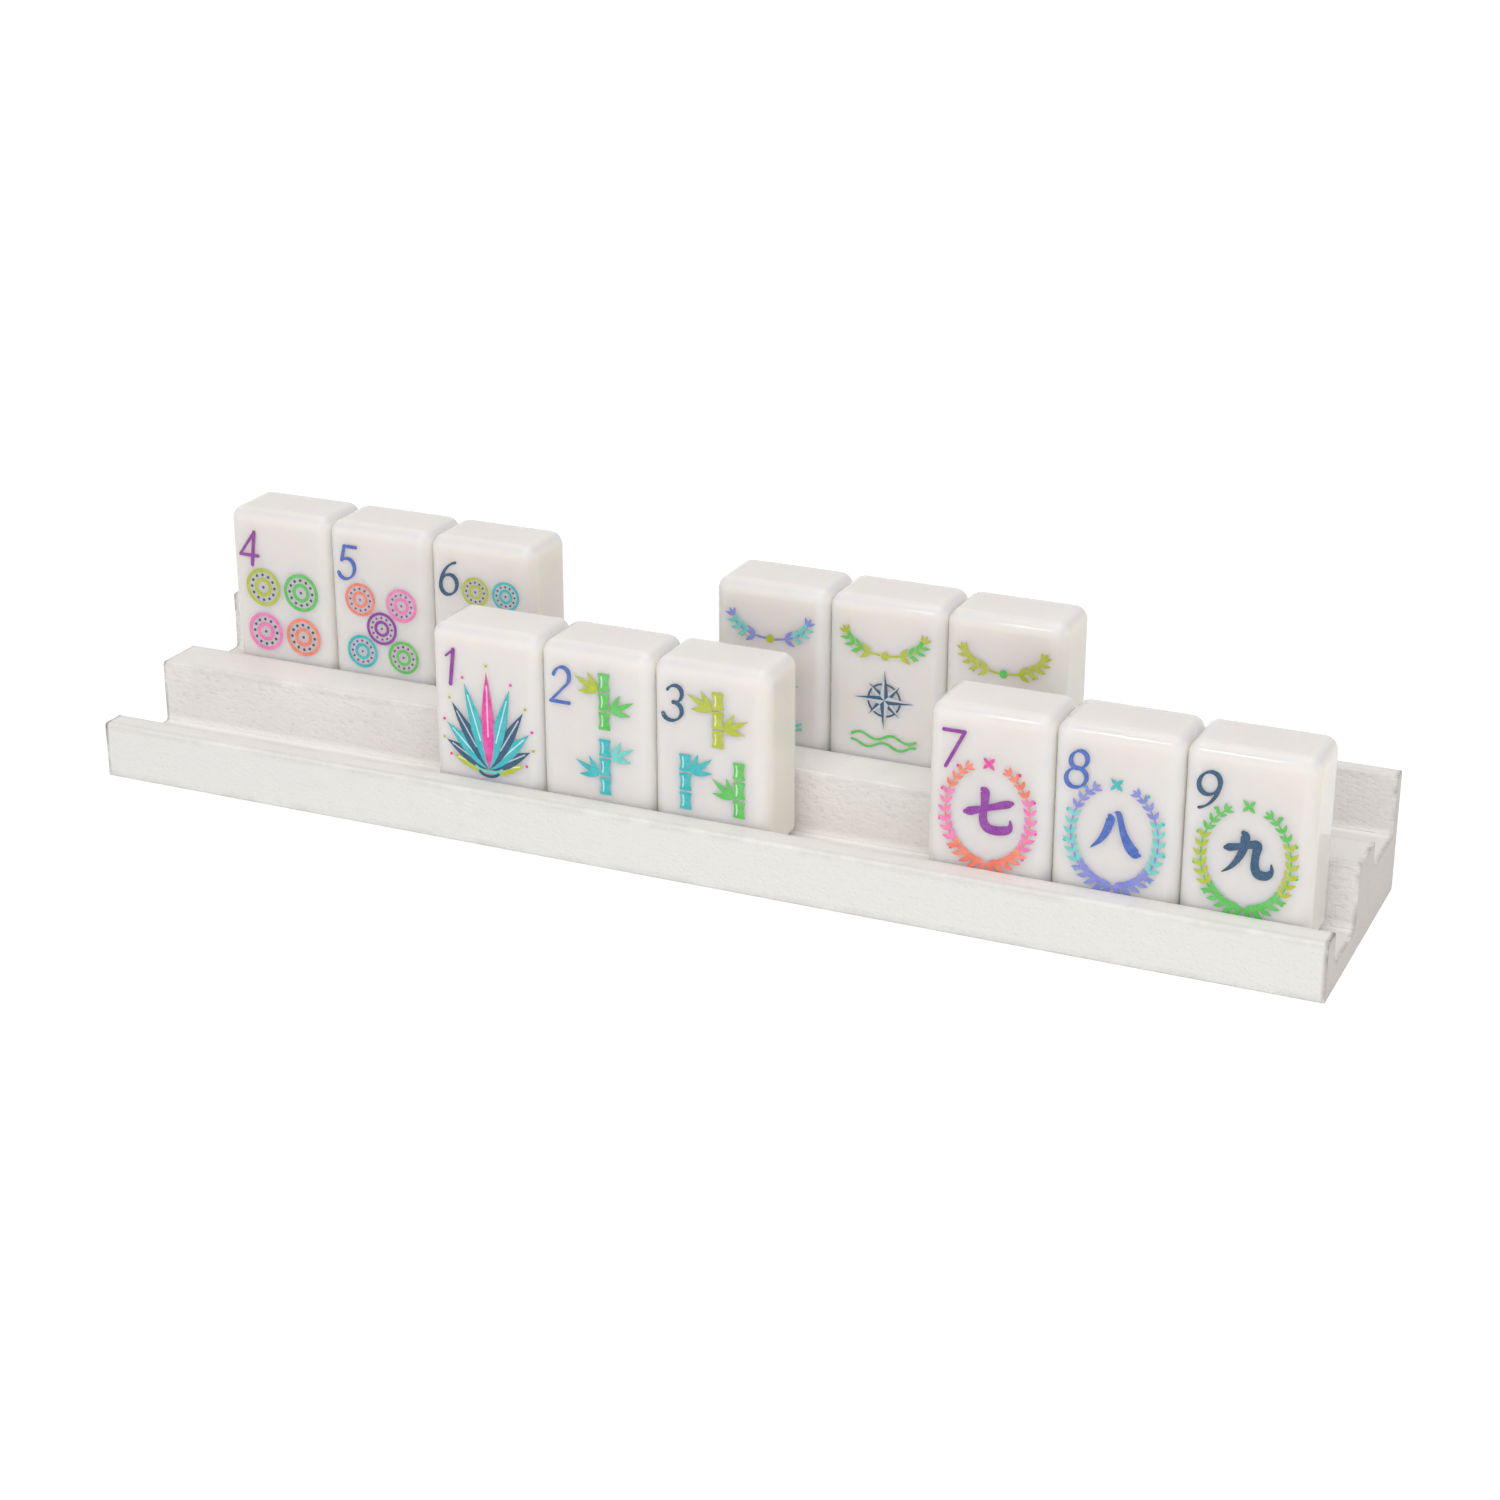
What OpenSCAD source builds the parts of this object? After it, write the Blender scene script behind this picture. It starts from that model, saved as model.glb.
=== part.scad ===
// Two-tier rack with playing tiles standing in its two grooves.
// Millimetres. +X runs along the rack, -Y faces the player, +Z is up.
// The origin is the middle of the rack's underside.

/* [Rack] */
// Length of the rack, end to end
rack_len = 270; // [240:1:330]
// Thickness of the low front rail
rail_t = 5.9; // [4:0.1:9]
// Height of the front rail's top above the table
rail_h = 12.5; // [10:0.1:16]
// Depth of the flat-topped step between the two grooves
step_t = 12.4; // [8:0.1:18]
// Height of the step's top above the table
step_h = 19; // [17.5:0.1:23]
// Thickness of the upright lip at the back
lip_t = 4.1; // [3:0.1:7]
// Height of the back lip's top above the table
lip_h = 26; // [24:0.1:34]
// Radius of the eased outer edges
edge_r = 0.8; // [0.3:0.1:1.2]

/* [Grooves] */
// Width of each groove, front to back
groove_w = 16.8; // [14:0.1:20]
// Height of the front groove's floor above the table
front_floor = 5.2; // [4:0.1:8]
// Height of the back groove's floor above the table
back_floor = 13.1; // [10:0.1:15]
// Radius of the wide cove along the front corner of each groove
front_cove_r = 3.2; // [1:0.1:3.5]
// Radius of the tight cove along the back corner of each groove
back_cove_r = 0.8; // [0.4:0.1:2.5]

/* [Tiles] */
// Width of a tile
tile_w = 25.3; // [22:0.1:27]
// Height of a tile
tile_h = 39.9; // [34:0.1:44]
// Radius of a tile's rounded edges and corners
tile_r = 2.9; // [1.5:0.1:4]
// Play between a tile and each wall of its groove
tile_play = 0.35; // [0.2:0.05:0.8]
// Gap between neighbouring tiles
tile_gap = 0.1; // [0.05:0.05:0.6]

/* [Layout] */
// Free stretch of the front groove at the right end
front_end_gap = 5.4; // [3:0.1:20]
// Free stretch of the front groove between its two groups
front_group_gap = 33.5; // [10:0.1:45]
// Free stretch of the back groove at the left end
back_end_gap = 11.4; // [3:0.1:20]
// Free stretch of the back groove between its two groups
back_group_gap = 42.5; // [10:0.1:45]

/* [Hidden] */
$fn = 64;
lap = 0.5;
tiles_per_group = 3;
rack_depth = rail_t + groove_w + step_t + groove_w + lip_t;
tile_t = groove_w - 2 * tile_play;
tile_pitch = tile_w + tile_gap;
group_len = tiles_per_group * tile_pitch - tile_gap;
// The coves stay clear of the tiles' rounded feet
foot_reach = tile_play + tile_r;
front_seat_r = min(front_cove_r, foot_reach);
back_seat_r = min(back_cove_r, foot_reach);
// Stations of the profile from front to back
front_y = -rack_depth / 2;
rail_y = front_y + rail_t;
riser_y = rail_y + groove_w;
step_y = riser_y + step_t;
lip_y = step_y + groove_w;
back_y = lip_y + lip_t;
// Left sides of the four groups of tiles
number_x = rack_len / 2 - front_end_gap - group_len;
bamboo_x = number_x - front_group_gap - group_len;
dots_x = -rack_len / 2 + back_end_gap;
wind_x = dots_x + group_len + back_group_gap;
// Colours of the two materials
paint = [0.90, 0.89, 0.87];
ivory = [0.94, 0.92, 0.87];

// The sliver between a square corner and the arc that eases it. "into" points from the corner
// towards the arc's centre along each axis.
module corner_sliver(corner, into, r) {
    translate(corner) mirror([into[0] < 0 ? 1 : 0, 0]) mirror([0, into[1] < 0 ? 1 : 0])
        difference() {
            translate([-lap, -lap]) square(r + lap);
            translate([r, r]) circle(r);
        }
}

// The stepped section: rail, front groove, step, back groove, lip
module rack_section() {
    difference() {
        union() {
            translate([front_y, 0]) square([rack_depth, rail_h]);
            translate([riser_y, 0]) square([back_y - riser_y, step_h]);
            translate([lip_y, 0]) square([lip_t, lip_h]);
        }
        translate([rail_y, front_floor]) square([groove_w, lip_h]);
        translate([step_y, back_floor]) square([groove_w, lip_h]);
        for (y = [front_y, back_y]) corner_sliver([y, 0], [-sign(y), 1], edge_r);
        for (top = [[front_y, rail_y, rail_h], [riser_y, step_y, step_h], [lip_y, back_y, lip_h]]) {
            corner_sliver([top[0], top[2]], [1, -1], edge_r);
            corner_sliver([top[1], top[2]], [-1, -1], edge_r);
        }
    }
    for (groove = [[rail_y, front_floor], [step_y, back_floor]]) {
        corner_sliver(groove, [1, 1], front_seat_r);
        corner_sliver([groove[0] + groove_w, groove[1]], [-1, 1], back_seat_r);
    }
}

module rack() {
    color(paint) translate([-rack_len / 2, 0, 0]) rotate([90, 0, 90])
        linear_extrude(rack_len) rack_section();
}

// A block rounded along every edge and at every corner, standing on z = 0 with its left side at x = 0
module rounded_tile() {
    inner = [tile_w - 2 * tile_r, tile_t - 2 * tile_r, tile_h - 2 * tile_r];
    translate([tile_r, tile_r - tile_t / 2, tile_r]) {
        translate([-tile_r, 0, 0]) cube([tile_w, inner[1], inner[2]]);
        translate([0, -tile_r, 0]) cube([inner[0], tile_t, inner[2]]);
        translate([0, 0, -tile_r]) cube([inner[0], inner[1], tile_h]);
        for (x = [0, inner[0]], y = [0, inner[1]]) translate([x, y, 0]) cylinder(inner[2], r = tile_r);
        for (x = [0, inner[0]], z = [0, inner[2]])
            translate([x, 0, z]) rotate([-90, 0, 0]) cylinder(inner[1], r = tile_r);
        for (y = [0, inner[1]], z = [0, inner[2]])
            translate([0, y, z]) rotate([0, 90, 0]) cylinder(inner[0], r = tile_r);
        for (x = [0, inner[0]], y = [0, inner[1]], z = [0, inner[2]]) translate([x, y, z]) sphere(tile_r);
    }
}

// A tile standing in a groove: place is its turn in the group, counted from the left
module front_tile(group_x, place) {
    color(ivory) translate([group_x + place * tile_pitch, rail_y + groove_w / 2, front_floor]) rounded_tile();
}

module back_tile(group_x, place) {
    color(ivory) translate([group_x + place * tile_pitch, step_y + groove_w / 2, back_floor]) rounded_tile();
}

module bamboo_1() { front_tile(bamboo_x, 0); }
module bamboo_2() { front_tile(bamboo_x, 1); }
module bamboo_3() { front_tile(bamboo_x, 2); }
module number_7() { front_tile(number_x, 0); }
module number_8() { front_tile(number_x, 1); }
module number_9() { front_tile(number_x, 2); }
module dots_4() { back_tile(dots_x, 0); }
module dots_5() { back_tile(dots_x, 1); }
module dots_6() { back_tile(dots_x, 2); }
module wind_1() { back_tile(wind_x, 0); }
module wind_2() { back_tile(wind_x, 1); }
module wind_3() { back_tile(wind_x, 2); }

rack();
bamboo_1();
bamboo_2();
bamboo_3();
number_7();
number_8();
number_9();
dots_4();
dots_5();
dots_6();
wind_1();
wind_2();
wind_3();
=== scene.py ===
"""Dresses the packed tile rack: painted timber, polished tiles, printed faces and a pale studio."""

import math

import bmesh
import bpy
from bpy.props import FloatProperty, FloatVectorProperty, IntProperty, PointerProperty
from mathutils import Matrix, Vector
from mathutils.geometry import delaunay_2d_cdt


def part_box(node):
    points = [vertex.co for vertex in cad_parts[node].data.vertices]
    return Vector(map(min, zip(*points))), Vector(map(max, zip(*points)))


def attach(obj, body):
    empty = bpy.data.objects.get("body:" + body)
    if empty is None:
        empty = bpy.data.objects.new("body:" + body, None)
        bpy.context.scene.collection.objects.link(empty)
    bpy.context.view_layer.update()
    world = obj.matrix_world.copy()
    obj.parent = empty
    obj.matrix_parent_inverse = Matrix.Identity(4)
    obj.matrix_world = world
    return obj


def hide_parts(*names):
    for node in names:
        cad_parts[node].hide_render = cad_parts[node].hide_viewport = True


bl_info = {
    "name": "Tile Rack",
    "version": (1, 0, 0),
    "blender": (4, 5, 0),
    "location": "View3D > Sidebar > Tile Rack",
    "description": "Paints a stepped tile rack, polishes its tiles and prints their faces",
    "category": "Object",
}

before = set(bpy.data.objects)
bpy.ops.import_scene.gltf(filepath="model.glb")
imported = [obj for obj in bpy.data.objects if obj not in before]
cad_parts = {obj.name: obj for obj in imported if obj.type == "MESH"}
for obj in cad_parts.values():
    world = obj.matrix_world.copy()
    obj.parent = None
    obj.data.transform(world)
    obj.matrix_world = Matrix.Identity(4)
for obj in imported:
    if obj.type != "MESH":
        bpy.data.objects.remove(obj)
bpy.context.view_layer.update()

MM = 0.001
BAMBOO = ("bamboo_1", "bamboo_2", "bamboo_3")
DOTS = ("dots_4", "dots_5", "dots_6")
NUMBERS = ("number_7", "number_8", "number_9")
WINDS = ("wind_1", "wind_2", "wind_3")
TILES = BAMBOO + DOTS + NUMBERS + WINDS
CURVE_STEPS = 10
STAMP_HEIGHTS = 7
STAMP_DEPTH = 0.001
STEM_WIDTH = 0.4
LEAF_LEAN = 40
BERRY_RADIUS = 0.36
BERRY_STANDOFF = 1.25
# Rack mesh: rings near an end in millimetres, grids between rings, steps round an end's eased edge, inset
# of the end's flat in easings, reach of the wear, rub of long arrises, angle in degrees of a sharp edge
END_RINGS = (1.0, 2.0, 4.0)
RING_GRIDS = 2.4
END_STEPS = 4
END_INSET = 2.1
END_WEAR_REACH = 0.0045
ARRIS_RUB = 0.12
SHARP_ANGLE = 40
# Tile mesh: inset of the flats in millimetres, and the power by which the flank's lighter tone, painted
# light, fades round an edge
FLAT_INSET = 0.25
FLANK_FADE = 3
# Prints: thinnest nib stroke, and the corner numeral's height in units, place, slant and nib angle
NIB_THIN = 0.42
DIGIT_TALL = 1.6
INDEX_PLACE = (-10.4, 27.2)
INDEX_SLANT = 0.12
INDEX_NIB = 35
# Floor as the camera sees it: its own white, and how far the lamps and the shadow still show
FLOOR_GLOW = 0.90
FLOOR_LIT = (0.22, 0.22, 0.22)
WHITE = (1.0, 1.0, 1.0)


def srgb(red, green, blue):
    """Scene-linear colour for 8-bit screen values."""
    return tuple(
        c / 12.92 if c <= 0.04045 else ((c + 0.055) / 1.055) ** 2.4
        for c in (red / 255, green / 255, blue / 255)
    )


def colour(name, description, value):
    return FloatVectorProperty(
        name=name, description=description, subtype="COLOR", size=3, min=0, max=1, default=value
    )


def length(name, description, value):
    return FloatProperty(
        name=name, description=description, subtype="DISTANCE", unit="LENGTH", precision=5, min=0,
        default=value,
    )


def share(name, description, value):
    return FloatProperty(name=name, description=description, subtype="FACTOR", min=0, max=1, default=value)


def wattage(name, description, value):
    return FloatProperty(name=name, description=description, unit="POWER", min=0, default=value)


def brightness(name, description, value):
    return FloatProperty(name=name, description=description, min=0, default=value)


class RackFinish(bpy.types.PropertyGroup):
    """Painted timber of the rack"""

    paint: colour("Paint", "Main tone of the white paint", srgb(239, 236, 233))
    paint_shade: colour("Paint shade", "Tone where the coat lies thinner", srgb(234, 230, 227))
    # Painted shade: a darker tone on the rail's front that stands in for shade.
    handled: colour("Handled", "Duller tone of the rail's front, where hands hold it", srgb(232, 231, 227))
    # Painted highlight: a lighter tone along the coves for the light they catch.
    cove_highlight: colour("Bead", "Tone where the paint gathers along the coves", srgb(247, 245, 241))
    # Partly painted shade: the sawn ends are darker from the end grain and as shade on the ends that face
    # away from the light.
    end_grain_and_shade: colour("End grain", "Tone of the sawn ends, which drink the paint", srgb(226, 219, 213))
    bare_wood: colour("Worn edge", "Tone that shows where the paint has rubbed off", srgb(124, 110, 102))
    grain_depth: length("Grain depth", "Height of the brush marks and raised grain", 0.00009)
    pit_depth: length("Pit depth", "Depth of the fine pits in the coat", 0.00007)
    pebble_depth: length("Pebble depth", "Depth of the orange-peel texture on the risers", 0.00034)
    wear: share("Wear", "How far the paint has rubbed off the arrises", 0.95)
    end_easing: length("End easing", "Rounding of the sawn ends' edges", 0.00025)
    unevenness: length("Unevenness", "Hand-sanded waviness of the long faces", 0.00006)
    grid: length("Grid", "Spacing of the rack's mesh along its section", 0.0011)


class TileFinish(bpy.types.PropertyGroup):
    """Polished resin of the tiles"""

    resin: colour("Resin", "Ivory resin of the tiles", srgb(232, 228, 225))
    # Painted light: the sides take a lighter tone that brightens the shaded seams between tiles.
    flank: colour("Flank", "Warmer tone on the sides that face a neighbour", srgb(243, 239, 232))
    # Painted shade: the rounded top edges take a darker tone.
    crown: colour("Crown", "Deeper tone of the top edges, where light leaves the resin", srgb(219, 217, 218))
    edge_radius: length("Edge radius", "Rounding of every edge and corner", 0.0029)
    edge_steps: IntProperty(
        name="Edge steps", description="Facets across a rounded edge", min=2, max=16, default=9
    )
    depth_of_light: length("Depth of light", "How far light travels inside the resin", 0.006)
    polish: share("Polish", "Roughness of the polished faces", 0.07)
    snug: length("Snug", "How far each flank is let out so that neighbours seem to touch", 0.00004)


class PrintInks(bpy.types.PropertyGroup):
    """Inks and line widths of the printed faces"""

    coral: colour("Coral", "Coral ink", srgb(240, 122, 98))
    pink: colour("Pink", "Pink ink", srgb(238, 112, 180))
    magenta: colour("Magenta", "Magenta ink", srgb(226, 44, 152))
    purple: colour("Purple", "Purple ink", srgb(142, 52, 156))
    lavender: colour("Lavender", "Lavender ink", srgb(128, 136, 212))
    blue: colour("Blue", "Blue ink", srgb(62, 100, 184))
    slate: colour("Slate", "Slate blue ink", srgb(42, 84, 116))
    teal: colour("Teal", "Teal ink", srgb(34, 182, 188))
    aqua: colour("Aqua", "Pale aqua ink", srgb(104, 204, 196))
    green: colour("Green", "Green ink", srgb(88, 192, 84))
    lime: colour("Lime", "Lime ink", srgb(178, 190, 40))
    rise: length("Rise", "Thickness of the ink above the resin", 0.00003)
    layer_rise: length("Layer rise", "Extra height of a stamp laid over its neighbour", 0.000004)
    index_height: length("Index height", "Height of the corner numeral", 0.0076)
    index_line: length("Index line", "Line width of the corner numeral", 0.00105)


class StudioSetup(bpy.types.PropertyGroup):
    """Camera, lamps and floor"""

    camera_place: FloatVectorProperty(
        name="Camera place", description="Where the camera stands", subtype="XYZ", unit="LENGTH", size=3,
        default=(0.2360, -0.5127, 0.2467),
    )
    camera_turn: FloatProperty(
        name="Camera turn", description="How far the camera looks to the left", subtype="ANGLE",
        default=math.radians(24.12),
    )
    camera_tilt: FloatProperty(
        name="Camera tilt", description="How far the camera looks down", subtype="ANGLE",
        default=math.radians(22.05),
    )
    lens: FloatProperty(name="Lens", description="Focal length in millimetres", min=1, default=70.37)
    key_power: wattage("Key", "Power of the lamp at the front left", 1.5)
    fill_power: wattage("Fill", "Power of the lamp at the front right", 5.6)
    top_power: wattage("Top", "Power of the broad lamp overhead", 5.5)
    glint_power: wattage("Glint", "Power of the small lamp that only a gloss mirrors", 1.1)
    sky_left: brightness("Sky, left", "Strength of the sky at the left", 0.50)
    sky_right: brightness("Sky, right", "Strength of the sky at the right", 0.44)
    floor: colour("Floor", "Pale floor", srgb(238, 238, 238))
    floor_size: length("Floor size", "Side of the square floor", 8.0)


def settings(name):
    return getattr(bpy.context.scene, name)


def in_mm(value):
    return value / MM


# Node helpers


def add_node(tree, kind, values=None, **options):
    """A node with its options set by attribute and its inputs by name."""
    node = tree.nodes.new(kind)
    for key, value in options.items():
        setattr(node, key, value)
    for key, value in (values or {}).items():
        socket = node.inputs[key]
        if isinstance(value, bpy.types.NodeSocket):
            tree.links.new(value, socket)
        elif socket.type == "RGBA" and len(value) == 3:
            socket.default_value = (*value, 1)
        else:
            socket.default_value = value
    return node


def blank_material(name):
    """A new node material, its tree and its Principled shader."""
    material = bpy.data.materials.new(name)
    material.use_nodes = True
    tree = material.node_tree
    return material, tree, tree.nodes["Principled BSDF"]


def mixed(tree, factor, first, second):
    """The colour that goes from first to second as factor goes from 0 to 1."""
    node = add_node(tree, "ShaderNodeMix", data_type="RGBA")
    given = ((node.inputs["Factor"], factor), (node.inputs[6], first), (node.inputs[7], second))
    for socket, value in given:
        if isinstance(value, bpy.types.NodeSocket):
            tree.links.new(value, socket)
        else:
            socket.default_value = (*value, 1) if hasattr(value, "__len__") else value
    return node.outputs[2]


def calculated(tree, operation, first, second):
    node = add_node(tree, "ShaderNodeMath", operation=operation, values={0: first, 1: second})
    return node.outputs[0]


def ranged(tree, value, low, high, to_low=0.0, to_high=1.0):
    """value taken from low..high to to_low..to_high, smoothly and within limits."""
    node = add_node(
        tree, "ShaderNodeMapRange", interpolation_type="SMOOTHSTEP",
        values={"Value": value, "From Min": low, "From Max": high, "To Min": to_low, "To Max": to_high},
    )
    return node.outputs["Result"]


def mottle_group():
    """Shader group: soft clouds and fine specks of a hand-finished surface, both from 0 to 1."""
    found = bpy.data.node_groups.get("Mottle")
    if found:
        return found
    group = bpy.data.node_groups.new("Mottle", "ShaderNodeTree")
    for name, kind, default in (
        ("Vector", "NodeSocketVector", None),
        ("Cloud Scale", "NodeSocketFloat", 40.0),
        ("Speck Scale", "NodeSocketFloat", 900.0),
    ):
        socket = group.interface.new_socket(name, in_out="INPUT", socket_type=kind)
        if default is not None:
            socket.default_value = default
    for name in ("Clouds", "Specks"):
        group.interface.new_socket(name, in_out="OUTPUT", socket_type="NodeSocketFloat")
    given = group.nodes.new("NodeGroupInput").outputs
    result = group.nodes.new("NodeGroupOutput").inputs
    clouds = noise(group, given["Vector"], given["Cloud Scale"], 4.0, 0.6)
    specks = noise(group, given["Vector"], given["Speck Scale"], 3.0, 0.7)
    group.links.new(ranged(group, clouds, 0.32, 0.68), result["Clouds"])
    group.links.new(ranged(group, specks, 0.3, 0.7), result["Specks"])
    return group


def add_mottle(tree, vector, cloud_scale, speck_scale):
    node = tree.nodes.new("ShaderNodeGroup")
    node.node_tree = mottle_group()
    tree.links.new(vector, node.inputs["Vector"])
    node.inputs["Cloud Scale"].default_value = cloud_scale
    node.inputs["Speck Scale"].default_value = speck_scale
    return node.outputs["Clouds"], node.outputs["Specks"]


def noise(tree, vector, scale, detail, roughness):
    node = add_node(
        tree, "ShaderNodeTexNoise",
        values={"Vector": vector, "Scale": scale, "Detail": detail, "Roughness": roughness},
    )
    return node.outputs[0]


def surface_mask(tree, name):
    """The piece's own attribute of that name, from 0 to 1."""
    return add_node(tree, "ShaderNodeAttribute", attribute_name=name).outputs["Fac"]


def object_place(tree):
    return tree.nodes.new("ShaderNodeTexCoord").outputs["Object"]


def watched_rays(tree):
    """1 for the rays that show a backdrop: from the camera, from a gloss or through clear matter."""
    rays = tree.nodes.new("ShaderNodeLightPath").outputs
    shown = calculated(tree, "MAXIMUM", rays["Is Camera Ray"], rays["Is Glossy Ray"])
    return calculated(tree, "MAXIMUM", shown, rays["Is Transmission Ray"])


def bumped(tree, height, depth, before=None):
    """A normal raised by height, from 0 to 1, times depth in metres."""
    node = add_node(tree, "ShaderNodeBump", values={"Strength": 1.0, "Distance": depth, "Height": height})
    if before is not None:
        tree.links.new(before, node.inputs["Normal"])
    return node.outputs["Normal"]


# Materials


def paint_material(finish):
    """White paint brushed along the timber: clouds, raised grain, pits and rubbed arrises, with a painted
    highlight along the coves, painted shade on the rail's front, and sawn ends darkened partly as painted
    shade.
    """
    material, tree, shader = blank_material("brushed_white_paint")
    place = object_place(tree)
    clouds, specks = add_mottle(tree, place, 46.0, 1500.0)
    along = add_node(tree, "ShaderNodeMapping", values={"Vector": place, "Scale": (0.06, 1.0, 1.0)})
    grain = noise(tree, along.outputs[0], 900.0, 5.0, 0.62)
    stretched = add_node(tree, "ShaderNodeMapping", values={"Vector": place, "Scale": (0.55, 1.0, 1.0)})
    pebbles = noise(tree, stretched.outputs[0], 1250.0, 2.5, 0.55)
    pits = add_node(
        tree, "ShaderNodeTexVoronoi", values={"Vector": place, "Scale": 1150.0, "Randomness": 1.0}
    ).outputs["Distance"]
    pitted = surface_mask(tree, "pitted")
    tone = mixed(tree, clouds, finish.paint, finish.paint_shade)
    cover = ranged(tree, clouds, 0.0, 1.0, 1.0, 0.8)
    # Painted shade: the rail's front takes a darker tone.
    front_shading = calculated(tree, "MULTIPLY", surface_mask(tree, "handled"), cover)
    tone = mixed(tree, front_shading, tone, finish.handled)
    # Darker in the hollows of the orange-peel texture, mostly on the walls behind the front rail.
    hollows = calculated(tree, "MULTIPLY", ranged(tree, pebbles, 0.40, 0.27), pitted)
    tone = mixed(tree, calculated(tree, "MULTIPLY", hollows, 0.13), tone, finish.bare_wood)
    # Painted highlight: the coves take a lighter tone.
    tone = mixed(tree, surface_mask(tree, "cove"), tone, finish.cove_highlight)
    # The sawn ends take a darker tone, partly end grain and partly painted shade.
    sawn = mixed(tree, specks, tuple(0.88 * c for c in finish.end_grain_and_shade), finish.end_grain_and_shade)
    tone = mixed(tree, surface_mask(tree, "sawn_end"), tone, sawn)
    patch = ranged(tree, noise(tree, place, 130.0, 5.0, 0.65), 0.36, 0.60)
    rubbed = calculated(tree, "MULTIPLY", surface_mask(tree, "arris"), patch)
    worn = calculated(tree, "MULTIPLY", rubbed, finish.wear)
    tree.links.new(mixed(tree, worn, tone, finish.bare_wood), shader.inputs["Base Color"])
    tree.links.new(ranged(tree, specks, 0.0, 1.0, 0.42, 0.62), shader.inputs["Roughness"])
    relief = bumped(tree, grain, finish.grain_depth)
    relief = bumped(tree, ranged(tree, pits, 0.05, 0.45), finish.pit_depth, relief)
    relief = bumped(tree, calculated(tree, "MULTIPLY", pebbles, pitted), finish.pebble_depth, relief)
    tree.links.new(relief, shader.inputs["Normal"])
    shader.inputs["Specular IOR Level"].default_value = 0.35
    return material


def resin_material(finish):
    """Polished ivory resin: light soaks in, the lighter and warmer tone on the flanks is painted light that
    brightens the seams, and the darker tone on the top edges is painted shade.
    """
    material, tree, shader = blank_material("polished_ivory_resin")
    place = object_place(tree)
    clouds, specks = add_mottle(tree, place, 70.0, 1300.0)
    # Painted light: the sides of each tile take a lighter tone.
    tone = mixed(tree, surface_mask(tree, "flank"), finish.resin, finish.flank)
    # Painted shade: the rounded top edges take a darker tone.
    tone = mixed(tree, surface_mask(tree, "crown"), tone, finish.crown)
    deeper = add_node(
        tree, "ShaderNodeHueSaturation", values={"Saturation": 1.25, "Value": 0.985, "Color": tone}
    )
    tree.links.new(mixed(tree, clouds, tone, deeper.outputs[0]), shader.inputs["Base Color"])
    smudges = ranged(tree, clouds, 0.0, 1.0, finish.polish, finish.polish + 0.06)
    tree.links.new(smudges, shader.inputs["Roughness"])
    tree.links.new(bumped(tree, specks, 0.000004), shader.inputs["Normal"])
    shader.inputs["IOR"].default_value = 1.52
    shader.inputs["Subsurface Weight"].default_value = 1.0
    shader.inputs["Subsurface Radius"].default_value = (1.0, 0.85, 0.62)
    shader.inputs["Subsurface Scale"].default_value = finish.depth_of_light
    return material


def ink_material():
    """Printed ink under a clear coat, its colour held in the print's own attribute. All prints share it."""
    found = bpy.data.materials.get("printed_ink")
    if found:
        return found
    material, tree, shader = blank_material("printed_ink")
    place = object_place(tree)
    clouds, specks = add_mottle(tree, place, 420.0, 2600.0)
    ink = add_node(tree, "ShaderNodeAttribute", attribute_name="ink").outputs["Color"]
    thin = add_node(tree, "ShaderNodeHueSaturation", values={"Saturation": 0.9, "Value": 1.12, "Color": ink})
    tree.links.new(mixed(tree, clouds, ink, thin.outputs[0]), shader.inputs["Base Color"])
    tree.links.new(ranged(tree, specks, 0.0, 1.0, 0.22, 0.34), shader.inputs["Roughness"])
    return material


def floor_material(studio):
    """Pale floor that shows white to the camera and to reflections, and keeps the shadow."""
    material, tree, shader = blank_material("pale_floor")
    place = object_place(tree)
    clouds, _ = add_mottle(tree, place, 1.5, 60.0)
    off_tone = tuple(0.985 * c for c in studio.floor)
    tree.links.new(mixed(tree, clouds, studio.floor, off_tone), shader.inputs["Base Color"])
    shader.inputs["Roughness"].default_value = 0.9
    shader.inputs["Specular IOR Level"].default_value = 0.0
    seen = add_node(tree, "ShaderNodeBsdfDiffuse", values={"Color": FLOOR_LIT})
    glow = add_node(tree, "ShaderNodeEmission", values={"Color": WHITE, "Strength": FLOOR_GLOW})
    white = add_node(tree, "ShaderNodeAddShader", values={0: seen.outputs[0], 1: glow.outputs[0]})
    both = add_node(
        tree, "ShaderNodeMixShader",
        values={0: watched_rays(tree), 1: shader.outputs[0], 2: white.outputs[0]},
    )
    tree.links.new(both.outputs[0], tree.nodes["Material Output"].inputs["Surface"])
    return material


# Mesh helpers


def linked_object(name, mesh):
    obj = bpy.data.objects.new(name, mesh)
    bpy.context.scene.collection.objects.link(obj)
    return obj


def finished_mesh(name, bm, material):
    """A smooth-shaded mesh from bm, with its material."""
    mesh = bpy.data.meshes.new(name)
    bm.to_mesh(mesh)
    bm.free()
    mesh.materials.append(material)
    mesh.shade_smooth()
    return mesh


def signed_area(points):
    """Twice the area inside a closed outline, positive if it runs anticlockwise."""
    return sum(a[0] * b[1] - b[0] * a[1] for a, b in zip(points, points[1:] + points[:1]))


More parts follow.
